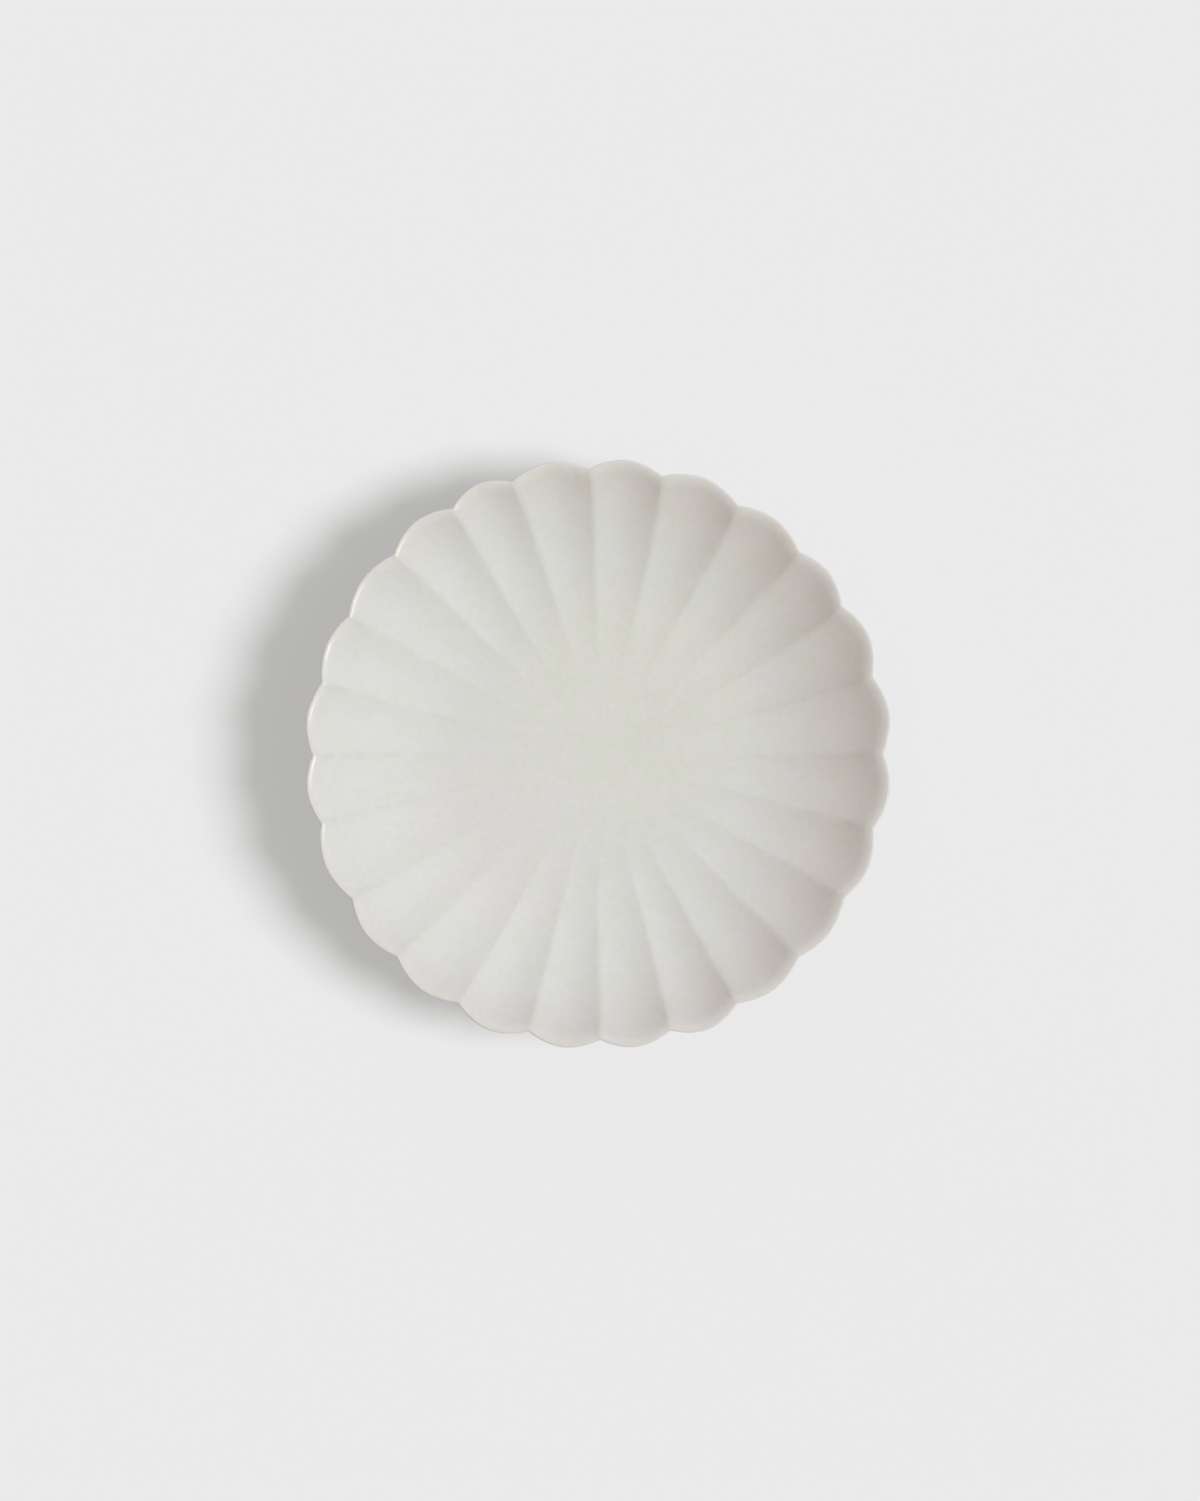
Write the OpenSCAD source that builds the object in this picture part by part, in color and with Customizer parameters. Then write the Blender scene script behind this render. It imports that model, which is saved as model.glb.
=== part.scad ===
// Scalloped dessert plate: a shallow fluted dish of glazed pottery on a foot ring.
// Millimetres, +Z up, origin at the middle of the foot ring's resting face.

/* [Plate] */
// Diameter over the glaze, across the petal tops
plate_d = 180; // [150:1:240]
// Number of petals round the rim
petal_count = 24; // [12:1:32]
// How far the notch between two petals reaches in from the petal tops
scallop_depth = 2.8; // [1:0.1:5]
// How much of the handmade unevenness the petals keep, 0 for an even plate
hand_share = 1; // [0:0.1:1]

/* [Dish] */
// Radius of the shallow centre, where the wall starts to rise
floor_r = 45; // [38:0.5:52]
// Slope of the shallow centre, in degrees, which it has all the way but for its middle
floor_slope = 2.7; // [0:0.1:5]
// How wide the level middle is: the slope is about half there at half this radius
floor_round_r = 15; // [5:1:30]
// Slope that the wall's arc would have at the rim, in degrees
wall_slope = 39.6; // [28:0.1:48]
// Radius at which the ridges between the petals begin
ridge_start_r = 20; // [15:0.5:40]
// How late the ridges rise: 1 is at a steady rate, 2 is mostly near the rim
ridge_fade = 1.8; // [1:0.05:2.5]
// Thickness of the clay under the middle of the plate
floor_t = 3.5; // [3:0.1:6]
// Thickness of the clay at the lip
lip_t = 2.3; // [1.8:0.1:3.5]
// How far inside the rim the face starts to level off
lip_ease = 3.6; // [2:0.1:5]
// Radius of the rim's upper corner, in the clay
lip_edge_r = 0.2; // [0.1:0.05:0.5]

/* [Foot] */
// Outer diameter of the foot ring under the dish
foot_d = 86; // [76:1:104]
// Width of the foot ring under the dish
foot_w = 4.2; // [3:0.1:8]
// Height of the foot ring
foot_h = 4.5; // [4.2:0.1:8]
// How far each wall of the foot ring leans in towards the resting face
foot_lean = 0.5; // [0:0.1:0.9]
// Eased corner on both sides of the resting face
foot_ease = 0.4; // [0.2:0.1:0.5]
// Thickness of the slip that joins the foot ring to the dish
slip_t = 0.3; // [0.2:0.1:0.6]
// Radius of the slip smoothed into both corners of that joint
slip_fillet_r = 1.4; // [0.8:0.1:2]

/* [Glaze] */
// Thickness of the glaze
glaze_t = 0.3; // [0.2:0.05:0.5]
// Height of bare clay left above the resting face, where the glaze is wiped off
bare_h = 1.1; // [0.8:0.1:1.6]

/* [Hidden] */

// Width of each petal, as a share of an even one, from the notch at 3 o'clock round the rim
petal_width_shares = [
    1.05, 1.03, 0.92, 1.03, 1.10, 0.98, 1.07, 0.87, 1.00, 1.02, 0.97, 0.98,
    0.92, 1.10, 0.98, 1.03, 1.02, 0.97, 0.95, 0.97, 1.03, 1.02, 1.00, 1.00
];
// How far each petal's top reaches past the mean rim, as a share of scallop_depth
petal_reach_shares = [
    0.00, 0.15, -0.05, 0.00, 0.15, 0.10, 0.10, 0.10, 0.10, -0.15, -0.20, -0.10,
    -0.15, 0.00, -0.10, 0.00, 0.20, 0.05, 0.05, 0.20, -0.05, -0.20, -0.10, -0.05
];
// How far the ridge before each petal leans off its radius at its inner end, in degrees
ridge_leans = [
    -1.1, -1.7, -3.9, -1.6, -1.6, -2.6, -1.3, -2.8, 0.1, -0.8, 1.0, 1.7,
    -0.2, -0.1, 0.3, 0.9, 1.5, 0.3, -0.8, 0.8, -0.9, -0.8, -1.1, -0.9
];
lean_power = 0.7;
// How round a petal's hollow is: 2 is a parabola, and less is flatter towards its ridges
bowl_power = 1.75;
// Half width of a ridge's rounded crest, as a share of half a petal: on the wall, and at the rim
crest_share = 0.25;
rim_crest_share = 0.03;
// Where on the wall the crests start to narrow, as a share of its width
narrow_share = 0.6;
// How far down the slope the rim's outer side is rounded, as a share of lip_t, and how fully
lip_round_share = 0.7;
side_pull_share = 0.6;
// Pull of the end tangents of the dish's underside, as shares of its length
lip_pull_share = 0.4;
foot_pull_share = 0.3;

// Where the flat facet in the middle ends and where the steps up the wall begin, as shares of ridge_start_r,
// and how much closer together those steps get towards the rim
middle_share = 0.5;
wall_foot_share = 1.5;
step_power = 0.85;

// Steps across a petal, up the wall, over the eased face, round the rim's corner and side, down the back
// and round a fillet
petal_steps = 5;
wall_steps = 6;
ease_steps = 3;
edge_steps = 1;
side_steps = 2;
back_steps = 4;
fillet_steps = 2;
$fn = 180;

// The petals' widths in degrees, and the angle of the notch before each one
width_shares = [
    for (i = [0 : petal_count - 1])
        1 + hand_share * (petal_width_shares[i % len(petal_width_shares)] - 1)
];
petal_widths = width_shares * 360 / sum_to(width_shares, petal_count);
notch_angles = [for (i = [0 : petal_count - 1]) sum_to(petal_widths, i)];

// Levels of the underside and of the face's middle, and the foot ring's radii under the dish
underside_z = foot_h + slip_t;
floor_z = underside_z + floor_t;
foot_r = foot_d / 2;
foot_bore_r = foot_r - foot_w;
fillet_z = underside_z - slip_fillet_r;
// Radius of the flat underside, which takes the joint and its fillet
underside_r = foot_r + 1.5 * slip_fillet_r;

// The wall's face is an arc that leaves the shallow centre smoothly, and levels off just inside the rim
lip_r = plate_d / 2 - glaze_t - lip_edge_r;
floor_end_slope = atan(tan(floor_slope) * floor_r / norm([floor_r, floor_round_r]));
wall_arc_r = (lip_r - floor_r) / (sin(wall_slope) - sin(floor_end_slope));
wall_arc_centre_r = floor_r - wall_arc_r * sin(floor_end_slope);
lip_drop = tan(wall_slope) * lip_ease / 3;
narrow_r = floor_r + narrow_share * (lip_r - floor_r);

// A film with flat facets clears the round foot ring by the depth of its widest facet
widest_step = max(petal_widths) / petal_steps;
facet_gap = foot_r * (1 / cos(widest_step / 2) - 1);

// Sum of a list's first n values
function sum_to(list, n, i = 0) = i < n ? list[i] + sum_to(list, n, i + 1) : 0;

// Points of an arc round a centre, from one angle to another
function arc(centre, r, from, to, steps) = [
    for (i = [0 : steps])
        let (a = from + (to - from) * i / steps)
        centre + r * [cos(a), sin(a)]
];

// A cubic curve through two ends with two handles, and its direction
function curve(p, t) =
    pow(1 - t, 3) * p[0] + 3 * t * pow(1 - t, 2) * p[1] + 3 * t * t * (1 - t) * p[2] + t * t * t * p[3];
function curve_heading(p, t) =
    pow(1 - t, 2) * (p[1] - p[0]) + 2 * t * (1 - t) * (p[2] - p[1]) + t * t * (p[3] - p[2]);

// How much of the notch is felt across a petal: 0 in its middle and most at its ridges, where u is -1 or 1
// The last crest on each side is a rounded crest
function notch_share(u, crest) =
    let (
        flank = 1 - crest,
        rise = bowl_power * pow(flank, bowl_power - 1) * crest / 2
    )
    abs(u) < flank
        ? pow(abs(u), bowl_power)
        : pow(flank, bowl_power) + rise * (1 - pow((1 - abs(u)) / crest, 2));
function crest_at(r) =
    crest_share + (rim_crest_share - crest_share) * pow(max(0, r - narrow_r) / (lip_r - narrow_r), 2);

// Columns round the dish, petal_steps to a petal: place across the petal, angle, lean, and where its wall ends
columns = [
    for (petal = [0 : petal_count - 1], step = [0 : petal_steps - 1])
        let (
            u = 2 * step / petal_steps - 1,
            leans = [
                ridge_leans[petal % len(ridge_leans)],
                ridge_leans[(petal + 1) % petal_count % len(ridge_leans)]
            ],
            reach = petal_reach_shares[petal % len(petal_reach_shares)] * (1 - u * u)
        )
        [
            u,
            notch_angles[petal] + petal_widths[petal] * step / petal_steps,
            hand_share * (leans[0] + (leans[1] - leans[0]) * step / petal_steps),
            lip_r - scallop_depth * (notch_share(u, rim_crest_share) - hand_share * reach)
        ]
];

// Height and gradient of the face in the middle of a petal, at a radius
function wall_z(r) =
    let (inner_r = min(r, floor_r), past = max(r, floor_r) - wall_arc_centre_r)
    floor_z + tan(floor_slope) * (norm([inner_r, floor_round_r]) - floor_round_r)
        + wall_arc_r * cos(floor_end_slope) - sqrt(pow(wall_arc_r, 2) - pow(past, 2));
function wall_gradient(r) =
    r < floor_r
        ? tan(floor_slope) * r / norm([r, floor_round_r])
        : tan(asin((r - wall_arc_centre_r) / wall_arc_r));

// How far a column stands above that, so that the rim is level all round
function ridge_share(r, u) =
    abs(u) < 1 - crest_share ? 1 : notch_share(u, crest_at(r)) / notch_share(u, rim_crest_share);
function ridge_z(r, column) =
    ridge_share(r, column[0]) * (wall_z(lip_r) - wall_z(column[3]))
        * pow(max(0, r - ridge_start_r) / (column[3] - ridge_start_r), ridge_fade);
function ridge_gradient(r, column) =
    r > ridge_start_r ? ridge_z(r, column) * ridge_fade / (r - ridge_start_r) : 0;

// How far the face has fallen behind the wall's arc where it levels off: left is 1 at first and 0 at the rim
function ease_z(left) = lip_drop * (1 - 3 * left + 2 * pow(left, 1.5));
function ease_gradient(left) = tan(wall_slope) * (1 - sqrt(left));

// Section of the dish in one column as [radius, height, share of its lean], grown outwards by a coat
function face_point(r, left, column, coat) =
    let (slope = atan(wall_gradient(r) + ridge_gradient(r, column) - ease_gradient(left)))
    [
        r - coat * sin(slope),
        wall_z(r) + ridge_z(r, column) - ease_z(left) + coat * cos(slope),
        pow(min(1, max(0, column[3] - r) / (column[3] - ridge_start_r)), lean_power)
    ];
function level(points) = [for (p = points) [p[0], p[1], 0]];
function curved(handles, steps, coat) = level([
    for (i = [1 : steps])
        let (heading = curve_heading(handles, i / steps))
        curve(handles, i / steps) + coat * [-heading[1], heading[0]] / norm(heading)
]);
function dish_section(column, coat) =
    let (
        end_r = column[3],
        lip_z = wall_z(lip_r) - lip_drop,
        outwards = [cos(wall_slope), sin(wall_slope)],
        corner = [end_r, lip_z - lip_edge_r],
        side_top = corner + [lip_edge_r, 0],
        side_foot = [
            end_r + lip_edge_r,
            lip_z + lip_drop + lip_edge_r * tan(wall_slope) - lip_t / cos(wall_slope)
        ],
        lip_end = side_foot - lip_round_share * lip_t * outwards,
        foot_end = [underside_r, underside_z],
        span = norm(lip_end - foot_end)
    )
    concat(
        [face_point(middle_share * ridge_start_r, 1, column, coat)],
        [
            for (i = [0 : wall_steps - 1])
                let (
                    wall_foot_r = wall_foot_share * ridge_start_r,
                    r = wall_foot_r + (end_r - lip_ease - wall_foot_r) * pow(i / wall_steps, step_power)
                )
                face_point(r, 1, column, coat)
        ],
        [
            for (i = [0 : ease_steps - 1])
                let (left = pow(1 - i / ease_steps, 2))
                face_point(end_r - lip_ease * left, left, column, coat)
        ],
        level(arc(corner, lip_edge_r + coat, 90, 0, edge_steps)),
        curved([
            side_top,
            side_top + side_pull_share * (side_foot - side_top),
            lip_end + side_pull_share * (side_foot - lip_end),
            lip_end
        ], side_steps, coat),
        curved([
            lip_end,
            lip_end - lip_pull_share * span * outwards,
            foot_end + foot_pull_share * span * [1, 0],
            foot_end
        ], back_steps, coat)
    );

// Outer radius of the foot ring at a height below the fillet
function foot_wall_r(z) = foot_r - foot_lean * (fillet_z - z) / fillet_z;

// Where the glaze runs from the dish over the slip's fillet and down the foot ring, to the wiped edge
function foot_film(coat, end_z) =
    let (centre = [foot_r + slip_fillet_r + facet_gap, fillet_z])
    level(concat(
        arc(centre, slip_fillet_r - coat, 90, 180, fillet_steps),
        [[foot_wall_r(end_z) + facet_gap + coat, end_z]]
    ));
function glaze_section(column) =
    let (inner = concat(dish_section(column, 0), foot_film(0, bare_h)))
    concat(
        dish_section(column, glaze_t),
        foot_film(glaze_t, bare_h + glaze_t),
        [for (i = [len(inner) - 1 : -1 : 0]) inner[i]]
    );

// A closed solid through sections that stand side by side round the axis, capped level at both ends
// From ring turn_at on, the surface runs back inside itself, and its facets are split the other way to match
module loft(sections, turn_at = undef) {
    turns = len(sections);
    rings = len(sections[0]);
    turn = is_undef(turn_at) ? rings : turn_at;
    points = [
        for (i = [0 : turns - 1], p = sections[i])
            let (angle = columns[i][1] + columns[i][2] * p[2])
            [p[0] * cos(angle), p[0] * sin(angle), p[1]]
    ];
    sides = [
        for (i = [0 : turns - 1], j = [0 : rings - 2])
            let (
                a = i * rings + j,
                b = (i + 1) % turns * rings + j
            )
            each j < turn ? [[a, b, b + 1], [a, b + 1, a + 1]] : [[a, b, a + 1], [b, b + 1, a + 1]]
    ];
    top = [for (i = [turns - 1 : -1 : 0]) i * rings];
    bottom = [for (i = [0 : turns - 1]) (i + 1) * rings - 1];
    polyhedron(points, concat(sides, [top, bottom]), convexity = 6);
}

// The fluted dish, one piece of pale clay pressed over a mould and trimmed at the rim
module clay_dish() {
    color([0.86, 0.82, 0.74])
        loft([for (column = columns) dish_section(column, 0)]);
}

// The layer of liquid clay that sticks the foot ring on, smoothed into both of its corners
module luting_slip() {
    color([0.80, 0.75, 0.66])
        rotate_extrude()
            polygon(concat(
                arc([foot_r + slip_fillet_r, fillet_z], slip_fillet_r, 90, 180, 8),
                [[foot_r, foot_h], [foot_bore_r, foot_h]],
                arc([foot_bore_r - slip_fillet_r, fillet_z], slip_fillet_r, 0, 90, 8)
            ));
}

// The foot ring, a coil of the same clay turned true and left bare where it rests
module foot_ring() {
    rest_r = foot_r - foot_lean;
    rest_bore_r = foot_bore_r + foot_lean;
    color([0.83, 0.77, 0.68])
        rotate_extrude()
            polygon([
                [foot_bore_r, foot_h],
                [foot_r, foot_h],
                [foot_r, fillet_z],
                [foot_wall_r(foot_ease), foot_ease],
                [rest_r - foot_ease, 0],
                [rest_bore_r + foot_ease, 0],
                [foot_bore_r + foot_r - foot_wall_r(foot_ease), foot_ease],
                [foot_bore_r, fillet_z]
            ]);
}

// The glaze over the face, the lip and the back, down to the wiped edge on the foot ring
module glaze_coat() {
    sections = [for (column = columns) glaze_section(column)];
    color([0.84, 0.84, 0.80])
        loft(sections, turn_at = len(sections[0]) / 2);
}

// The separate pool of glaze inside the foot ring
module recess_glaze() {
    fillet_centre = [foot_bore_r - slip_fillet_r, fillet_z];
    function bore_r(z) = foot_bore_r + foot_r - foot_wall_r(z);
    color([0.80, 0.80, 0.76])
        rotate_extrude()
            polygon(concat(
                [[0, underside_z]],
                arc(fillet_centre, slip_fillet_r, 90, 0, 8),
                [[bore_r(bare_h), bare_h], [bore_r(bare_h + glaze_t) - glaze_t, bare_h + glaze_t]],
                arc(fillet_centre, slip_fillet_r - glaze_t, 0, 90, 8),
                [[0, underside_z - glaze_t]]
            ));
}

clay_dish();
luting_slip();
foot_ring();
glaze_coat();
recess_glaze();
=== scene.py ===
# A scalloped dessert plate of glazed pottery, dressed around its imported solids. All lengths are in metres.

import math

import bpy
import numpy as np
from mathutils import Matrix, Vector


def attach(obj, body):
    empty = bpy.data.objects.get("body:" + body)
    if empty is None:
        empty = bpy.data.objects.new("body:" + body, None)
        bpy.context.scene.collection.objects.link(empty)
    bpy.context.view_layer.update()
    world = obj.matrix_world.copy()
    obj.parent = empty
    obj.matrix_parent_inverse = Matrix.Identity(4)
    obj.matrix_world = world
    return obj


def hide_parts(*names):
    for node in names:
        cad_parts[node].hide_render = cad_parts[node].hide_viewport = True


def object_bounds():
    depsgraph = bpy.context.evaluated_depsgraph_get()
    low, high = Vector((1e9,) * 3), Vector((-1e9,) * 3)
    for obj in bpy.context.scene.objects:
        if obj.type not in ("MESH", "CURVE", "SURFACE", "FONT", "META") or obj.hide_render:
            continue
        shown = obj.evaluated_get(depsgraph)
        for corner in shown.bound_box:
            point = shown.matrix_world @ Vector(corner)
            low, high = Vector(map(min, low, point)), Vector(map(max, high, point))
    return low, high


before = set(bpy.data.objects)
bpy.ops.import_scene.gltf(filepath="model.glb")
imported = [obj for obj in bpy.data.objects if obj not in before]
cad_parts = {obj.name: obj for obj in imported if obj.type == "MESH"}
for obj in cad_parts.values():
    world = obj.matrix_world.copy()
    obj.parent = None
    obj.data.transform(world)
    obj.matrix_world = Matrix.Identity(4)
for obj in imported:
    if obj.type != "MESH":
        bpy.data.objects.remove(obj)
cad_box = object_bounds()
scene = bpy.context.scene

# The dish
# Pale clay pressed over a mould: a shallow centre, a wall that rises in an arc to a level lip, and 24 petals
# scooped into it by hand. The glaze hides all of it, so the solid stays as it is, with the clay's finish.

millimetre = 0.001
plate_d = 180 * millimetre
scallop_depth = 2.8 * millimetre
floor_r = 45 * millimetre
floor_slope = math.radians(2.7)
floor_round_r = 15 * millimetre
wall_slope = math.radians(39.6)
ridge_start_r = 20 * millimetre
ridge_fade = 1.8
floor_t = 3.5 * millimetre
lip_t = 2.3 * millimetre
lip_ease = 3.6 * millimetre
lip_edge_r = 0.2 * millimetre
lip_round_share = 0.7
fillet_reach_share = 1.5
foot_d = 86 * millimetre
foot_w = 4.2 * millimetre
foot_h = 4.5 * millimetre
foot_lean = 0.5 * millimetre
foot_ease = 0.4 * millimetre
slip_t = 0.3 * millimetre
slip_fillet_r = 1.4 * millimetre
glaze_t = 0.3 * millimetre
bare_h = 1.1 * millimetre

underside_z = foot_h + slip_t
floor_z = underside_z + floor_t
foot_r = foot_d / 2
foot_bore_r = foot_r - foot_w
fillet_z = underside_z - slip_fillet_r
underside_r = foot_r + fillet_reach_share * slip_fillet_r
lip_r = plate_d / 2 - glaze_t - lip_edge_r
floor_end_slope = math.atan(math.tan(floor_slope) * floor_r / math.hypot(floor_r, floor_round_r))
wall_arc_r = (lip_r - floor_r) / (math.sin(wall_slope) - math.sin(floor_end_slope))
wall_arc_centre_r = floor_r - wall_arc_r * math.sin(floor_end_slope)
lip_drop = math.tan(wall_slope) * lip_ease / 3

clay_cloud_size = 14 * millimetre
grit_depth = 0.05 * millimetre
rusty_speck = (0.42, 0.31, 0.21, 1)
clay_roughness = 0.85
pottery_specular = 0.3


def shader_node(tree, kind, **settings):
    """A node of a material or geometry tree, with its own settings made."""
    node = tree.nodes.new(kind)
    for name, value in settings.items():
        setattr(node, name, value)
    return node


def feed(tree, socket, value):
    """Links a node's output into a socket, or sets the socket to a plain value."""
    if isinstance(value, bpy.types.NodeSocket):
        tree.links.new(value, socket)
    else:
        socket.default_value = value


def maths(tree, operation, *values):
    """The result of one Math node."""
    node = shader_node(tree, "ShaderNodeMath", operation=operation)
    for socket, value in zip(node.inputs, values):
        feed(tree, socket, value)
    return node.outputs[0]


def new_material(name):
    """An empty node material: its tree, its Principled BSDF and the piece's own coordinates."""
    material = bpy.data.materials.new(name)
    material.use_nodes = True
    tree = material.node_tree
    tree.nodes.clear()
    surface = shader_node(tree, "ShaderNodeBsdfPrincipled")
    output = shader_node(tree, "ShaderNodeOutputMaterial")
    tree.links.new(surface.outputs["BSDF"], output.inputs["Surface"])
    place = shader_node(tree, "ShaderNodeTexCoord").outputs["Object"]
    return material, tree, surface, place


def noise(tree, place, size, detail=2.0, roughness=0.5):
    """Noise from 0 to 1, whose patches measure about size."""
    node = shader_node(tree, "ShaderNodeTexNoise")
    tree.links.new(place, node.inputs["Vector"])
    node.inputs["Scale"].default_value = 1 / size
    node.inputs["Detail"].default_value = detail
    node.inputs["Roughness"].default_value = roughness
    return node.outputs[0]


def spread(tree, value, from_low, from_high, to_low=0.0, to_high=1.0):
    """A value eased from one range to another, and kept inside it."""
    node = shader_node(tree, "ShaderNodeMapRange", interpolation_type="SMOOTHSTEP")
    for socket, number in zip(node.inputs, (value, from_low, from_high, to_low, to_high)):
        feed(tree, socket, number)
    return node.outputs[0]


def blended(tree, share, low, high, how="MIX"):
    """A colour that goes from low to high with share, or to low multiplied by high."""
    node = shader_node(tree, "ShaderNodeMix", data_type="RGBA", blend_type=how)
    feed(tree, node.inputs["Factor"], share)
    feed(tree, node.inputs["A"], low)
    feed(tree, node.inputs["B"], high)
    return node.outputs["Result"]


def bumped(tree, surface, height, distance):
    """Raises the surface's normal by a height from 0 to 1 that stands for a real distance."""
    node = shader_node(tree, "ShaderNodeBump")
    node.inputs["Distance"].default_value = distance
    tree.links.new(height, node.inputs["Height"])
    tree.links.new(node.outputs["Normal"], surface.inputs["Normal"])


def bare_clay(name, pale, dark, grit_size):
    """Fired clay without glaze: matte, cloudy, with fine grit and a few rusty specks in its face."""
    material, tree, surface, place = new_material(name)
    cloud = noise(tree, place, clay_cloud_size, 4.0)
    grit = noise(tree, place, grit_size, 3.0, 0.7)
    colour = blended(tree, spread(tree, cloud, 0.35, 0.65), dark, pale)
    speck = spread(tree, grit, 0.66, 0.74, 0.0, 0.5)
    tree.links.new(blended(tree, speck, colour, rusty_speck), surface.inputs["Base Color"])
    surface.inputs["Roughness"].default_value = clay_roughness
    surface.inputs["Specular IOR Level"].default_value = pottery_specular
    bumped(tree, surface, grit, grit_depth)
    return material


dish_clay = bare_clay(
    "pressed clay", pale=(0.70, 0.63, 0.52, 1), dark=(0.64, 0.56, 0.45, 1), grit_size=0.8 * millimetre,
)
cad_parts["clay_dish"].data.materials.clear()
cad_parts["clay_dish"].data.materials.append(dish_clay)

# The slip
# Liquid clay that sticks the foot ring to the dish. It was smoothed into both corners with a wet finger,
# and the glaze has covered it since, so it stays as the solid gives it.

slip_clay = bare_clay(
    "fired slip", pale=(0.62, 0.55, 0.44, 1), dark=(0.57, 0.49, 0.38, 1), grit_size=0.4 * millimetre,
)
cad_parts["luting_slip"].data.materials.clear()
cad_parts["luting_slip"].data.materials.append(slip_clay)

# The glaze coat
# One film of glaze, 0.3 mm thick, over the face, lip and back and down the outside of the foot ring, where
# it was wiped off before firing. Its section is turned round the axis, and the petals press into the section.
# Its ridges are a little sharper than the clay's under it, as they show in the light.

petal_count = 24
petal_width_shares = [
    1.05, 1.03, 0.92, 1.03, 1.10, 0.98, 1.07, 0.87, 1.00, 1.02, 0.97, 0.98,
    0.92, 1.10, 0.98, 1.03, 1.02, 0.97, 0.95, 0.97, 1.03, 1.02, 1.00, 1.00,
]
petal_reach_shares = [
    0.00, 0.15, -0.05, 0.00, 0.15, 0.10, 0.10, 0.10, 0.10, -0.15, -0.20, -0.10,
    -0.15, 0.00, -0.10, 0.00, 0.20, 0.05, 0.05, 0.20, -0.05, -0.20, -0.10, -0.05,
]
ridge_leans = [
    -1.1, -1.7, -3.9, -1.6, -1.6, -2.6, -1.3, -2.8, 0.1, -0.8, 1.0, 1.7,
    -0.2, -0.1, 0.3, 0.9, 1.5, 0.3, -0.8, 0.8, -0.9, -0.8, -1.1, -0.9,
]
lean_power = 0.7
bowl_power = 1.75
crest_radii = (20 * millimetre, 50 * millimetre, 78 * millimetre, lip_r)
crest_shares = (0.4, 0.14, 0.17, 0.03)
thin_share = 0.11
side_pull_share = 0.6
lip_pull_share = 0.4
foot_pull_share = 0.3
lip_gloss_depth = 0.8 * millimetre
wipe_waves = 2.5
weld_distance = 0.002 * millimetre
shown_steps = (6, 34, 14, 6, 8, 22, 8)
hidden_steps = (2, 11, 4, 2, 3, 6, 3)
wiped_edge_steps = 4


def arc(centre, radius, start, end, steps):
    """Points of an arc in the section, with its angles in degrees."""
    angles = np.radians(np.linspace(start, end, steps + 1))
    return np.stack([centre[0] + radius * np.cos(angles), centre[1] + radius * np.sin(angles)], 1)


def wall_height(r):
    """Height of the clay's face in the middle of a petal."""
    shallow = math.tan(floor_slope) * (np.hypot(np.minimum(r, floor_r), floor_round_r) - floor_round_r)
    past = np.maximum(r, floor_r) - wall_arc_centre_r
    return floor_z + shallow + wall_arc_r * math.cos(floor_end_slope) - np.sqrt(wall_arc_r**2 - past**2)


def foot_wall_r(z):
    """Outer radius of the foot ring, which leans in towards the resting face."""
    return foot_r - foot_lean * (fillet_z - z) / fillet_z


def bore_wall_r(z):
    """Inner radius of the foot ring, which leans outwards towards the resting face."""
    return foot_bore_r + foot_r - foot_wall_r(z)


def lip_level_off(r, end_r):
    """How far the face falls behind the wall's arc near the lip, where its slope eases as a square root."""
    share = np.clip(1 - (end_r - r) / lip_ease, 0, 1)
    return 3 * lip_drop * (share - 2 / 3 * (1 - (1 - share) ** 1.5))


def curve(points, steps):
    """Points of a cubic curve, without its first."""
    t = np.linspace(0, 1, steps + 1)[1:, None]
    a, b, c, d = (np.array(point) for point in points)
    return (1 - t) ** 3 * a + 3 * t * (1 - t) ** 2 * b + 3 * t**2 * (1 - t) * c + t**3 * d


def clay_section(end_r, ridge_share, steps):
    """The clay under the glaze as radius and height, from the middle of its face to the wiped edge."""
    centre_steps, wall_steps, ease_steps, edge_steps, side_steps, back_steps, fillet_steps = steps
    centre_radii = ridge_start_r * np.arange(1, centre_steps) / centre_steps
    wall_radii = np.linspace(ridge_start_r, end_r - lip_ease, wall_steps + 1)[:-1]
    ease_radii = end_r - lip_ease * np.linspace(1, 0, ease_steps + 1)[:-1] ** 2
    face_radii = np.concatenate([wall_radii, ease_radii])
    rise = (face_radii - ridge_start_r) / (end_r - ridge_start_r)
    lift = ridge_share * (wall_height(lip_r) - wall_height(end_r)) * rise**ridge_fade
    face_heights = wall_height(face_radii) + lift - lip_level_off(face_radii, end_r)
    lip_z = wall_height(lip_r) - lip_drop
    outwards = np.array([math.cos(wall_slope), math.sin(wall_slope)])
    edge_end = np.array([end_r + lip_edge_r, lip_z - lip_edge_r])
    side_z = lip_z + lip_drop + lip_edge_r * math.tan(wall_slope) - lip_t / math.cos(wall_slope)
    side_end = np.array([end_r + lip_edge_r, side_z])
    lip_end = side_end - lip_round_share * lip_t * outwards
    foot_end = np.array([underside_r, underside_z])
    span = np.linalg.norm(lip_end - foot_end)
    side = [
        edge_end, edge_end + side_pull_share * (side_end - edge_end),
        lip_end + side_pull_share * (side_end - lip_end), lip_end,
    ]
    back = [
        lip_end, lip_end - lip_pull_share * span * outwards,
        foot_end + foot_pull_share * span * np.array([1, 0]), foot_end,
    ]
    return np.concatenate([
        np.stack([centre_radii, wall_height(centre_radii)], 1),
        np.stack([face_radii, face_heights], 1),
        arc((end_r, lip_z - lip_edge_r), lip_edge_r, 90, 0, edge_steps),
        curve(side, side_steps),
        curve(back, back_steps),
        arc((foot_r + slip_fillet_r, fillet_z), slip_fillet_r, 90, 180, fillet_steps),
        [[foot_wall_r(bare_h), bare_h]],
    ])


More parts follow.
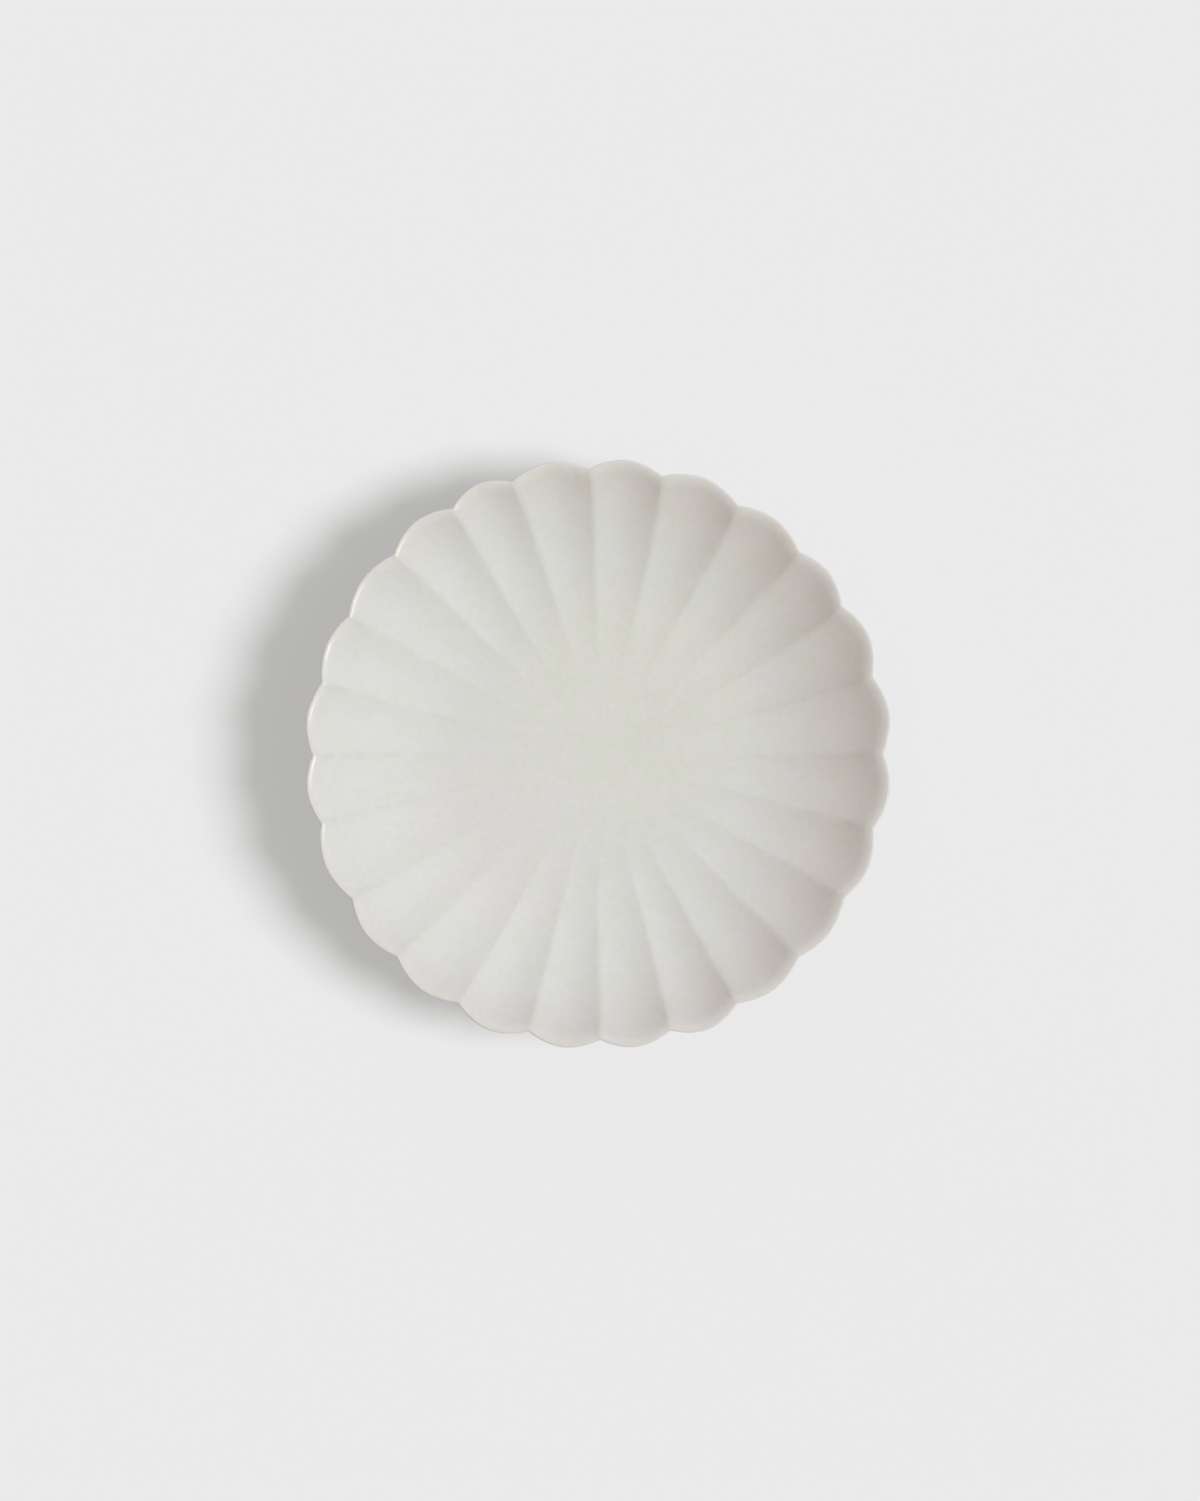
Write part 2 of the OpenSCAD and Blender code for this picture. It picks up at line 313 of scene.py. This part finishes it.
def coated(section, thickness):
    """A section grown outwards by a film of glaze, square to its line."""
    length = np.concatenate([[0], np.cumsum(np.linalg.norm(np.diff(section, axis=0), axis=1))])
    along = np.gradient(section, length, axis=0)
    out = np.stack([-along[:, 1], along[:, 0]], 1)
    return section + thickness * out / np.linalg.norm(out, axis=1, keepdims=True)


def film_section(end_r, ridge_share=1.0):
    """The closed section of the glaze coat: its outer face, its rounded wiped edge, and its inner face."""
    outer = coated(clay_section(end_r, ridge_share, shown_steps), glaze_t)[:-1]
    inner = clay_section(end_r, ridge_share, hidden_steps)
    edge = arc((foot_wall_r(bare_h), bare_h + glaze_t), glaze_t, 0, -80, wiped_edge_steps)
    return outer, edge, inner[::-1]


def section_points(name, points, **values):
    """A string of points in the XZ plane, which carries named values on its points."""
    mesh = bpy.data.meshes.new(name)
    mesh.vertices.add(len(points))
    places = np.zeros((len(points), 3))
    places[:, 0], places[:, 2] = points[:, 0], points[:, 1]
    mesh.vertices.foreach_set("co", places.ravel())
    for key, value in values.items():
        if value.ndim == 2:
            attribute = mesh.attributes.new(key, "FLOAT_VECTOR", "POINT")
            vectors = np.zeros((len(points), 3))
            vectors[:, 0], vectors[:, 2] = value[:, 0], value[:, 1]
            attribute.data.foreach_set("vector", vectors.ravel())
        else:
            attribute = mesh.attributes.new(key, "FLOAT", "POINT")
            attribute.data.foreach_set("value", value)
    piece = bpy.data.objects.new(name, mesh)
    scene.collection.objects.link(piece)
    return piece


def turning_tree():
    """Turns a section round the axis and presses petals into it, by the shares in the petals' plan."""
    tree = bpy.data.node_groups.new("turned and petalled section", "GeometryNodeTree")
    sizes = {}
    for name, kind in (
        ("Section", "Geometry"), ("Petal Plan", "Object"), ("Petals", "Int"), ("Columns per Petal", "Int"),
        ("Scallop Depth", "Float"), ("Bowl Power", "Float"), ("Rim Crest Share", "Float"),
        ("Thin Share", "Float"), ("Open Middle", "Bool"), ("Unevenness", "Float"),
        ("Unevenness Size", "Float"), ("Wipe Wander", "Float"), ("Seed", "Float"), ("Finish", "Material"),
    ):
        sizes[name] = tree.interface.new_socket(name, in_out="INPUT", socket_type="NodeSocket" + kind)
    tree.interface.new_socket("Piece", in_out="OUTPUT", socket_type="NodeSocketGeometry")
    given = shader_node(tree, "NodeGroupInput").outputs

    def sampled(geometry, index, data_type, field):
        node = shader_node(tree, "GeometryNodeSampleIndex", data_type=data_type, domain="POINT")
        feed(tree, node.inputs["Geometry"], geometry)
        feed(tree, node.inputs["Value"], field)
        feed(tree, node.inputs["Index"], index)
        return node.outputs["Value"]

    def named(key, data_type="FLOAT"):
        node = shader_node(tree, "GeometryNodeInputNamedAttribute", data_type=data_type)
        node.inputs["Name"].default_value = key
        return node.outputs["Attribute"]

    def vector(operation, first, second, output="Vector"):
        node = shader_node(tree, "ShaderNodeVectorMath", operation=operation)
        feed(tree, node.inputs[0], first)
        feed(tree, node.inputs["Scale" if operation == "SCALE" else 1], second)
        return node.outputs[output]

    def parts(place):
        node = shader_node(tree, "ShaderNodeSeparateXYZ")
        feed(tree, node.inputs[0], place)
        return node.outputs

    def joined(x, y, z):
        node = shader_node(tree, "ShaderNodeCombineXYZ")
        for socket, value in zip(node.inputs, (x, y, z)):
            feed(tree, socket, value)
        return node.outputs[0]

    # A plain drum of the right number of rings and columns, with a fan over each end
    rings = shader_node(tree, "GeometryNodeAttributeDomainSize", component="MESH")
    feed(tree, rings.inputs["Geometry"], given["Section"])
    last_ring = maths(tree, "SUBTRACT", rings.outputs["Point Count"], 1)
    columns = maths(tree, "MULTIPLY", given["Petals"], given["Columns per Petal"])
    drum = shader_node(tree, "GeometryNodeMeshCylinder", fill_type="TRIANGLE_FAN")
    feed(tree, drum.inputs["Vertices"], columns)
    feed(tree, drum.inputs["Side Segments"], last_ring)
    drum.inputs["Radius"].default_value = 1
    drum.inputs["Depth"].default_value = 2
    x, y, z = parts(shader_node(tree, "GeometryNodeInputPosition").outputs[0])[:3]
    ring = maths(tree, "ROUND", maths(tree, "MULTIPLY", last_ring, maths(tree, "MULTIPLY_ADD", z, -0.5, 0.5)))
    on_side = maths(tree, "GREATER_THAN", vector("LENGTH", joined(x, y, 0), (0, 0, 0), "Value"), 0.5)
    turn = maths(tree, "DIVIDE", maths(tree, "ARCTAN2", y, x), 2 * math.pi)
    column = maths(tree, "ROUND", maths(tree, "MULTIPLY", turn, columns))
    column = maths(tree, "FLOORED_MODULO", column, columns)

    # Which petal a column is in and where across it, closer together towards the ridges
    petal = maths(tree, "DIVIDE", maths(tree, "ADD", column, 0.5), given["Columns per Petal"])
    petal = maths(tree, "FLOOR", petal)
    step = maths(tree, "SUBTRACT", column, maths(tree, "MULTIPLY", petal, given["Columns per Petal"]))
    share = maths(tree, "DIVIDE", step, given["Columns per Petal"])
    across = maths(tree, "SINE", maths(tree, "MULTIPLY_ADD", share, math.pi, -math.pi / 2))
    plan = shader_node(tree, "GeometryNodeObjectInfo")
    feed(tree, plan.inputs["Object"], given["Petal Plan"])
    start, width, reach, lean, next_lean = (
        sampled(plan.outputs["Geometry"], petal, "FLOAT", named(key))
        for key in ("start", "width", "reach", "lean", "next_lean")
    )
    half_turn = maths(tree, "MULTIPLY_ADD", across, 0.5, 0.5)
    angle = maths(tree, "MULTIPLY_ADD", width, half_turn, start)
    leaning = maths(tree, "MULTIPLY_ADD", maths(tree, "SUBTRACT", next_lean, lean), half_turn, lean)
    lean_share = sampled(given["Section"], ring, "FLOAT", named("lean_share"))
    angle = maths(tree, "MULTIPLY_ADD", leaning, lean_share, angle)

    # The notch between two petals: a round hollow across each petal, with a rounded crest where two meet
    from_middle = maths(tree, "ABSOLUTE", across)
    to_crest = maths(tree, "SUBTRACT", 1, from_middle)
    bowl = maths(tree, "POWER", from_middle, given["Bowl Power"])
    topness = maths(tree, "SUBTRACT", 1, maths(tree, "MULTIPLY", across, across))
    reaching = maths(tree, "MULTIPLY", reach, topness)

    def notch(crest):
        flank = maths(tree, "SUBTRACT", 1, crest)
        slope = maths(tree, "POWER", flank, maths(tree, "SUBTRACT", given["Bowl Power"], 1))
        steepness = maths(tree, "MULTIPLY", given["Bowl Power"], slope)
        rise = maths(tree, "MULTIPLY", steepness, maths(tree, "MULTIPLY", crest, 0.5))
        left = maths(tree, "DIVIDE", to_crest, crest)
        crown = maths(tree, "MULTIPLY", rise, maths(tree, "SUBTRACT", 1, maths(tree, "MULTIPLY", left, left)))
        crown = maths(tree, "ADD", maths(tree, "MULTIPLY", slope, flank), crown)
        pick = shader_node(tree, "GeometryNodeSwitch", input_type="FLOAT")
        for socket, value in zip(pick.inputs, (maths(tree, "LESS_THAN", to_crest, crest), bowl, crown)):
            feed(tree, socket, value)
        return maths(tree, "SUBTRACT", pick.outputs[0], reaching)

    # The section's point for this ring, pressed in and raised by the notch, and turned to the column's angle
    place = shader_node(tree, "GeometryNodeInputPosition").outputs[0]
    place = sampled(given["Section"], ring, "FLOAT_VECTOR", place)
    crest = sampled(given["Section"], ring, "FLOAT", named("crest"))
    pressed = place
    for key, share in (("press", notch(given["Rim Crest Share"])), ("raise", notch(crest))):
        along = sampled(given["Section"], ring, "FLOAT_VECTOR", named(key, "FLOAT_VECTOR"))
        depth = maths(tree, "MULTIPLY", share, given["Scallop Depth"])
        pressed = vector("ADD", pressed, vector("SCALE", along, depth))
    radius, _, height = parts(pressed)[:3]
    radius = maths(tree, "MULTIPLY", radius, on_side)
    round_x, round_y = maths(tree, "COSINE", angle), maths(tree, "SINE", angle)
    turned_x, turned_y = maths(tree, "MULTIPLY", radius, round_x), maths(tree, "MULTIPLY", radius, round_y)
    turned = joined(turned_x, turned_y, height)

    # Handwork: slow waves in the face, and a wiped edge that wanders up and down
    def waves(place, size):
        node = shader_node(tree, "ShaderNodeTexNoise", noise_dimensions="4D")
        feed(tree, node.inputs["Vector"], place)
        feed(tree, node.inputs["W"], given["Seed"])
        feed(tree, node.inputs["Scale"], size)
        node.inputs["Detail"].default_value = 1
        return maths(tree, "MULTIPLY_ADD", node.outputs[0], 2, -1)

    slack = sampled(given["Section"], ring, "FLOAT", named("slack"))
    wipe = sampled(given["Section"], ring, "FLOAT", named("wipe"))
    per_size = maths(tree, "DIVIDE", 1, given["Unevenness Size"])
    swell = maths(tree, "MULTIPLY_ADD", waves(turned, per_size), 0.5, 0.5)
    uneven = maths(tree, "MULTIPLY", maths(tree, "MULTIPLY", swell, slack), given["Unevenness"])
    wander = maths(tree, "MULTIPLY", waves(joined(round_x, round_y, 0), wipe_waves), wipe)
    wander = maths(tree, "MULTIPLY", wander, given["Wipe Wander"])
    final = vector("ADD", turned, joined(0, 0, maths(tree, "ADD", uneven, wander)))

    # How near each point is to a crest, and how far the ridge has risen there, for the glaze's colour
    ridge = sampled(given["Section"], ring, "FLOAT", named("ridge"))
    lip = sampled(given["Section"], ring, "FLOAT", named("lip"))
    aside = maths(tree, "DIVIDE", to_crest, given["Thin Share"])
    near = maths(tree, "EXPONENT", maths(tree, "MULTIPLY", maths(tree, "MULTIPLY", aside, aside), -1))
    thin = maths(tree, "MULTIPLY", near, ridge)

    # An open ring loses both fans. The values are stored before the points move, because each is read anew
    fan = maths(tree, "MULTIPLY", maths(tree, "SUBTRACT", 1, on_side), given["Open Middle"])
    opened = shader_node(tree, "GeometryNodeDeleteGeometry", domain="POINT")
    feed(tree, opened.inputs["Geometry"], drum.outputs["Mesh"])
    feed(tree, opened.inputs["Selection"], fan)
    valued = opened.outputs[0]
    for name, value in (("thin_glaze", thin), ("lip_glaze", lip)):
        stored = shader_node(tree, "GeometryNodeStoreNamedAttribute", data_type="FLOAT", domain="POINT")
        feed(tree, stored.inputs["Geometry"], valued)
        stored.inputs["Name"].default_value = name
        feed(tree, stored.inputs["Value"], value)
        valued = stored.outputs[0]
    moved = shader_node(tree, "GeometryNodeSetPosition")
    feed(tree, moved.inputs["Geometry"], valued)
    feed(tree, moved.inputs["Position"], final)
    welded = shader_node(tree, "GeometryNodeMergeByDistance")
    feed(tree, welded.inputs["Geometry"], moved.outputs[0])
    welded.inputs["Distance"].default_value = weld_distance
    smooth = shader_node(tree, "GeometryNodeSetShadeSmooth")
    feed(tree, smooth.inputs["Geometry"], welded.outputs[0])
    realized = shader_node(tree, "GeometryNodeRealizeInstances")
    feed(tree, realized.inputs["Geometry"], smooth.outputs[0])
    finish = shader_node(tree, "GeometryNodeSetMaterial")
    feed(tree, finish.inputs["Geometry"], realized.outputs[0])
    feed(tree, finish.inputs["Material"], given["Finish"])
    tree.links.new(finish.outputs[0], shader_node(tree, "NodeGroupOutput").inputs[0])
    return tree, {name: socket.identifier for name, socket in sizes.items()}


turning, turning_inputs = turning_tree()


def petal_plan(name, widths, reaches, leans):
    """One point for each petal: its first angle, its width, its top's reach, and its two ridges' leans."""
    widths = np.array(widths) * 2 * math.pi / sum(widths)
    starts = np.concatenate([[0], np.cumsum(widths)[:-1]])
    leans = np.radians(leans)
    return section_points(
        name, np.zeros((len(widths), 2)), start=starts, width=widths, reach=np.array(reaches),
        lean=leans, next_lean=np.roll(leans, -1),
    )


def turn(section, plan, finish, **sizes):
    """Runs the turning tree on a section and leaves its result as a plain mesh."""
    modifier = section.modifiers.new("turning", "NODES")
    modifier.node_group = turning
    values = {
        "Petal Plan": plan, "Finish": finish, "Petals": petal_count, "Bowl Power": bowl_power,
        "Rim Crest Share": crest_shares[-1], "Thin Share": thin_share, **sizes,
    }
    for name, value in values.items():
        modifier[turning_inputs[name]] = value
    finished = section.evaluated_get(bpy.context.evaluated_depsgraph_get())
    mesh = bpy.data.meshes.new_from_object(finished)
    mesh.name = section.name
    section.modifiers.clear()
    points = section.data
    section.data = mesh
    bpy.data.meshes.remove(points)
    return section


glaze_patch_size = 22 * millimetre
edge_wander = 12 * millimetre
deep_pool = (0.642, 0.644, 0.580, 1)
pale_pool = (0.651, 0.653, 0.589, 1)
pool_middle = (8 * millimetre, 14 * millimetre)
pool_edge = (29 * millimetre, 45 * millimetre)
wall_white = (0.6425, 0.643, 0.597, 1)
cool_white = (0.648, 0.640, 0.602, 1)
cool_middle = (-38 * millimetre, -30 * millimetre)
cool_edge = (16 * millimetre, 46 * millimetre)
# Painted warm tint of shade: the rim warmer, more so on the +x side, whose wall faces away from the key light
warm_shade_tint = (0.666, 0.639, 0.595, 1)
warm_shade_drift = 0.12
warm_shade_edge = (68 * millimetre, 85 * millimetre)
# Painted shade: the rim darker towards the lower right, where the wall faces away from the key light
rim_shade_colour = (0.56, 0.535, 0.50, 1)
rim_shade_drift = (0.08, -0.13)
rim_shade_edge = (80 * millimetre, 95 * millimetre)
worn_brown = (0.54, 0.525, 0.44, 1)
worn_patch_size = 6 * millimetre
lip_white = (0.78, 0.78, 0.73, 1)
mottles = (
    (7 * millimetre, (0.992, 0.999, 0.974, 1), (1.008, 1.001, 1.026, 1)),
    (1.7 * millimetre, (0.982, 0.982, 0.982, 1), (1.017, 1.017, 1.017, 1)),
)
# Painted shade: the centre and lower wall a little darker towards the upper left, fading out before the rim
painted_shade_tone = (0.988, 0.988, 0.986, 1)
painted_shade_drift = (-0.9, 0.5)
painted_shade_edge = (-20 * millimetre, 40 * millimetre)
painted_shade_reach = (45 * millimetre, 72 * millimetre)
gloss_patch_size = 9 * millimetre
ripple_size = 2.2 * millimetre
ripple_depth = 0.02 * millimetre


def glaze(name):
    """Satin off-white glaze: a yellower pool in the middle, a cooler patch, a rim warmed and darkened by
    painted shade, worn lines on the ridges, mottles of two sizes, painted shade on one side of the centre,
    and a glossier lip."""
    material, tree, surface, place = new_material(name)
    thin, lip = (
        shader_node(tree, "ShaderNodeAttribute", attribute_name=key).outputs["Fac"]
        for key in ("thin_glaze", "lip_glaze")
    )
    across = shader_node(tree, "ShaderNodeSeparateXYZ")
    tree.links.new(place, across.inputs[0])
    x, y = across.outputs["X"], across.outputs["Y"]
    cloud = noise(tree, place, glaze_patch_size, 3.0)
    wander = maths(tree, "MULTIPLY_ADD", cloud, edge_wander, -edge_wander / 2)

    def away(middle_x, middle_y):
        aside, along = maths(tree, "SUBTRACT", x, middle_x), maths(tree, "SUBTRACT", y, middle_y)
        square = maths(tree, "MULTIPLY_ADD", aside, aside, maths(tree, "MULTIPLY", along, along))
        return maths(tree, "ADD", maths(tree, "SQRT", square), wander)

    def towards(share_x, share_y):
        return maths(tree, "MULTIPLY_ADD", x, share_x, maths(tree, "MULTIPLY", y, share_y))

    # Broad tones with wandering edges: the pool, the cool patch, and painted warm and dark shade on the rim
    colour = blended(tree, spread(tree, cloud, 0.3, 0.7), deep_pool, pale_pool)
    colour = blended(tree, spread(tree, away(*pool_middle), *pool_edge), colour, wall_white)
    colour = blended(tree, spread(tree, away(*cool_middle), *cool_edge, 1.0, 0.0), colour, cool_white)
    stray = away(0, 0)
    warm_shaded = spread(tree, maths(tree, "MULTIPLY_ADD", x, warm_shade_drift, stray), *warm_shade_edge)
    colour = blended(tree, warm_shaded, colour, warm_shade_tint)
    rim_shaded = spread(tree, maths(tree, "ADD", towards(*rim_shade_drift), stray), *rim_shade_edge, 0.0, 0.2)
    colour = blended(tree, rim_shaded, colour, rim_shade_colour)

    # The glaze runs thin on the ridges, more in some places, and the lip is a little paler
    patchy = spread(tree, noise(tree, place, worn_patch_size, 3.0), 0.3, 0.7, 0.3, 1.0)
    worn = maths(tree, "MULTIPLY", thin, patchy)
    colour = blended(tree, maths(tree, "MULTIPLY", worn, 0.4), colour, worn_brown)
    colour = blended(tree, maths(tree, "MULTIPLY", lip, 0.08), colour, lip_white)

    # Two sizes of mottle, and painted shade that darkens the centre a little towards the upper left
    for size, low, high in mottles:
        mottle = blended(tree, spread(tree, noise(tree, place, size, 4.0), 0.3, 0.7), low, high)
        colour = blended(tree, 1.0, colour, mottle, "MULTIPLY")
    painted_shade = maths(
        tree, "MULTIPLY", spread(tree, towards(*painted_shade_drift), *painted_shade_edge),
        spread(tree, stray, *painted_shade_reach, 1.0, 0.0),
    )
    colour = blended(tree, painted_shade, colour, blended(tree, 1.0, colour, painted_shade_tone, "MULTIPLY"))
    tree.links.new(colour, surface.inputs["Base Color"])

    gloss = spread(tree, noise(tree, place, gloss_patch_size, 4.0), 0.3, 0.7, 0.6, 0.68)
    edge = maths(tree, "MULTIPLY", lip, lip)
    tree.links.new(maths(tree, "MULTIPLY_ADD", edge, -0.5, gloss), surface.inputs["Roughness"])
    surface.inputs["Specular IOR Level"].default_value = pottery_specular
    bumped(tree, surface, noise(tree, place, ripple_size, 3.0), ripple_depth)
    return material


def felt(section_parts):
    """Values along the glaze coat's section: how uneven, wiped, ridged, crested and leaning, and the lip."""
    outer, edge, inner = section_parts
    points = np.concatenate(section_parts)
    outside = np.arange(len(points)) < len(outer)
    r, z = points[:, 0], points[:, 1]
    face = z > wall_height(np.minimum(r, lip_r)) - 2 * lip_drop
    rise = np.clip((r - ridge_start_r) / (lip_r - ridge_start_r), 0, 1)
    return {
        "slack": np.where(outside & (z > underside_z), 1.0, 0.0),
        "wipe": np.where(z < bare_h + 2 * glaze_t, 1.0, 0.0),
        "ridge": np.where(outside & face, rise, 0.0),
        "lip": np.where(outside, np.exp(-(((z - z.max()) / lip_gloss_depth) ** 2)), 0.0),
        "crest": np.interp(r, crest_radii, crest_shares),
        "lean_share": np.where(face, (1 - rise) ** lean_power, 0.0),
    }


petals = petal_plan("petal_plan", petal_width_shares, petal_reach_shares, ridge_leans)
in_middle = film_section(lip_r)
in_notch = np.concatenate(film_section(lip_r - scallop_depth))
unraised = np.concatenate(film_section(lip_r - scallop_depth, 0.0))
coat = section_points(
    "glaze_film", np.concatenate(in_middle), press=(unraised - np.concatenate(in_middle)) / scallop_depth,
    **{"raise": (in_notch - unraised) / scallop_depth}, **felt(in_middle),
)
turn(
    coat, petals, glaze("satin off-white glaze"),
    **{"Columns per Petal": 20, "Scallop Depth": scallop_depth, "Unevenness": 0.12 * millimetre,
       "Unevenness Size": 18 * millimetre, "Wipe Wander": 0.2 * millimetre, "Seed": 3.0},
)
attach(coat, "root")
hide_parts("glaze_coat")

# The foot ring
# A coil of the same clay, turned true after it was stuck on. Its resting face and the last millimetre of
# its walls are bare, because a glazed foot would stick to the kiln's shelf. Its corners are sponged round.

foot_edge_steps = 5
foot_clay = bare_clay(
    "bare foot clay", pale=(0.70, 0.62, 0.50, 1), dark=(0.60, 0.52, 0.40, 1), grit_size=0.7 * millimetre,
)
foot_section = np.concatenate([
    [[foot_bore_r, foot_h], [foot_r, foot_h], [foot_r, fillet_z]],
    arc((foot_wall_r(foot_ease) - foot_ease, foot_ease), foot_ease, 0, -90, foot_edge_steps),
    arc((bore_wall_r(foot_ease) + foot_ease, foot_ease), foot_ease, -90, -180, foot_edge_steps),
    [[foot_bore_r, fillet_z], [foot_bore_r, foot_h]],
])
foot = section_points("turned_foot", foot_section)
turn(foot, petals, foot_clay, **{"Columns per Petal": 10, "Open Middle": True, "Unevenness Size": 1.0})
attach(foot, "root")
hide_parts("foot_ring")

# The recess glaze
# The film inside the foot ring, poured in and out again, so it is thickest in the corner.
# It ends in a wiped edge of its own on the ring's inner wall.

recess_rings = 12
recess_edge_steps = 4
recess_fillet_steps = 10


def recess_section():
    """The film's closed section: hidden face, wiped edge, and the face that shows from below."""
    middle = (foot_bore_r - slip_fillet_r, fillet_z)
    hidden = np.concatenate([
        [[middle[0] / 2, underside_z]],
        arc(middle, slip_fillet_r, 90, 0, recess_edge_steps),
    ])
    edge = arc((bore_wall_r(bare_h), bare_h + glaze_t), glaze_t, -100, -180, recess_edge_steps)
    rings = middle[0] * np.linspace(0.95, 0.05, recess_rings)
    shown = np.concatenate([
        arc(middle, slip_fillet_r - glaze_t, 0, 90, recess_fillet_steps),
        np.stack([rings, np.full(recess_rings, underside_z - glaze_t)], 1),
    ])
    return hidden, edge, shown


recess_parts = recess_section()
recess_points = np.concatenate(recess_parts)
shown_share = (np.arange(len(recess_points)) >= len(recess_points) - recess_rings) * 1.0
recess = section_points(
    "recess_film", recess_points, slack=shown_share, wipe=(recess_points[:, 1] < bare_h + 2 * glaze_t) * 1.0,
)
turn(
    recess, petals, glaze("pooled recess glaze"),
    **{"Columns per Petal": 10, "Unevenness": 0.06 * millimetre, "Unevenness Size": 14 * millimetre,
       "Wipe Wander": 0.2 * millimetre, "Seed": 8.0},
)
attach(recess, "root")
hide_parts("recess_glaze")

bpy.data.objects.remove(petals)

# The stage
# A plain pale floor, a large soft key light from the right with a smaller core in it, a weak light from the
# top of the picture, and a bright ceiling. One more light from the right shines only on what is glossy, the
# lip. The camera sees an evenly bright sheet with the plate's shadow, and the plate sees a plain floor.

floor_grey = 0.823
floor_half = 3.0
floor_gap = 0.05 * millimetre
sheet_grey = 0.08
shadow_tint = (1.0, 0.993, 0.974, 1)
shadow_level = 0.428


def level_sheet(name, height):
    """A level square sheet under the plate, which is staging and not part of it."""
    mesh = bpy.data.meshes.new(name)
    corners = [(x * floor_half, y * floor_half, height) for x, y in ((-1, -1), (1, -1), (1, 1), (-1, 1))]
    mesh.from_pydata(corners, [], [(0, 1, 2, 3)])
    sheet = bpy.data.objects.new(name, mesh)
    scene.collection.objects.link(sheet)
    material = bpy.data.materials.new(name)
    material.use_nodes = True
    surface = material.node_tree.nodes["Principled BSDF"]
    surface.inputs["Roughness"].default_value = 1.0
    surface.inputs["Specular IOR Level"].default_value = 0.0
    mesh.materials.append(material)
    return sheet, surface.inputs


floor, floor_inputs = level_sheet("floor", -floor_gap)
floor_inputs["Base Color"].default_value = (floor_grey, floor_grey, floor_grey, 1)
floor.visible_camera = False
sheet, sheet_inputs = level_sheet("shadow_sheet", 0.0)
sheet_inputs["Base Color"].default_value = (sheet_grey, sheet_grey, sheet_grey, 1)
sheet_inputs["Emission Color"].default_value = shadow_tint
sheet_inputs["Emission Strength"].default_value = shadow_level
sheet.visible_diffuse = sheet.visible_glossy = sheet.visible_transmission = sheet.visible_shadow = False

key_tint = (0.925, 1.0, 1.13)
top_tint = (0.96, 1.0, 1.28)
sheet_key_tint = (0.992, 1.0, 1.024)
ceiling_tint = (1.085, 1.0, 0.88, 1)
zenith_level = 0.806
horizon_level = 0.085


def sun(name, azimuth, elevation, share, size, colour):
    """A far, soft light: its place and its width in degrees, and its share of the light on a level floor."""
    light = bpy.data.lights.new(name, "SUN")
    light.energy = share * math.pi / math.sin(math.radians(elevation))
    light.angle = math.radians(size)
    light.color = colour
    lamp = bpy.data.objects.new(name, light)
    lamp.rotation_euler = (math.radians(90 - elevation), 0, math.radians(azimuth + 90))
    scene.collection.objects.link(lamp)
    return lamp


key = sun("key", azimuth=-3, elevation=47, share=0.36, size=30, colour=key_tint)
core = sun("key_core", azimuth=-20, elevation=45, share=0.083, size=10, colour=key_tint)
key.visible_glossy = core.visible_glossy = False
glint = sun("lip_glint", azimuth=-17, elevation=60, share=0.16, size=14, colour=(1, 1, 1))
glint.visible_diffuse = False
sun("top_fill", azimuth=105, elevation=25, share=0.078, size=60, colour=top_tint)
sheet_key = sun("sheet_key", azimuth=-5.5, elevation=41, share=4.0, size=22, colour=sheet_key_tint)
lit = bpy.data.collections.new("lit by the sheet key")
lit.objects.link(sheet)
sheet_key.light_linking.receiver_collection = lit

world = bpy.data.worlds.new("bright ceiling")
world.use_nodes = True
world_tree = world.node_tree
ceiling = world_tree.nodes["Background"]
heading = shader_node(world_tree, "ShaderNodeSeparateXYZ")
world_tree.links.new(shader_node(world_tree, "ShaderNodeTexCoord").outputs["Generated"], heading.inputs[0])
upward = maths(world_tree, "MAXIMUM", heading.outputs["Z"], 0)
upward = maths(world_tree, "MULTIPLY", upward, upward)
sky_level = maths(world_tree, "MULTIPLY_ADD", upward, zenith_level, horizon_level)
path = shader_node(world_tree, "ShaderNodeLightPath").outputs
seen = maths(world_tree, "MAXIMUM", path["Is Camera Ray"], path["Is Glossy Ray"])
seen = maths(world_tree, "MAXIMUM", seen, path["Is Transmission Ray"])
feed(world_tree, ceiling.inputs["Color"], blended(world_tree, seen, ceiling_tint, (1, 1, 1, 1)))
shown = shader_node(world_tree, "ShaderNodeMix", data_type="FLOAT")
for name, value in (("Factor", seen), ("A", sky_level), ("B", floor_grey)):
    feed(world_tree, shown.inputs[name], value)
feed(world_tree, ceiling.inputs["Strength"], shown.outputs["Result"])
scene.world = world

# The camera
# Straight above, with the plate a little left of and below the middle of the picture. It is near enough for
# the rim to cover part of the shadow.

image_width = 1200
sensor_width = 36
plate_middle_x, plate_middle_y = 597.7, 754.1
image_middle_x, image_middle_y = 600.0, 750.5
plate_radius_px = 295.0
lip_height = cad_box[1][2]
camera_rise = 0.65
pixel = plate_d / 2 / plate_radius_px
camera = bpy.data.objects.new("camera", bpy.data.cameras.new("camera"))
camera.location = (
    (image_middle_x - plate_middle_x) * pixel,
    (plate_middle_y - image_middle_y) * pixel,
    lip_height + camera_rise,
)
camera.data.sensor_fit = "HORIZONTAL"
camera.data.sensor_width = sensor_width
camera.data.lens = sensor_width * camera_rise / (image_width * pixel)
scene.collection.objects.link(camera)
scene.camera = camera
scene.view_settings.view_transform = "Standard"
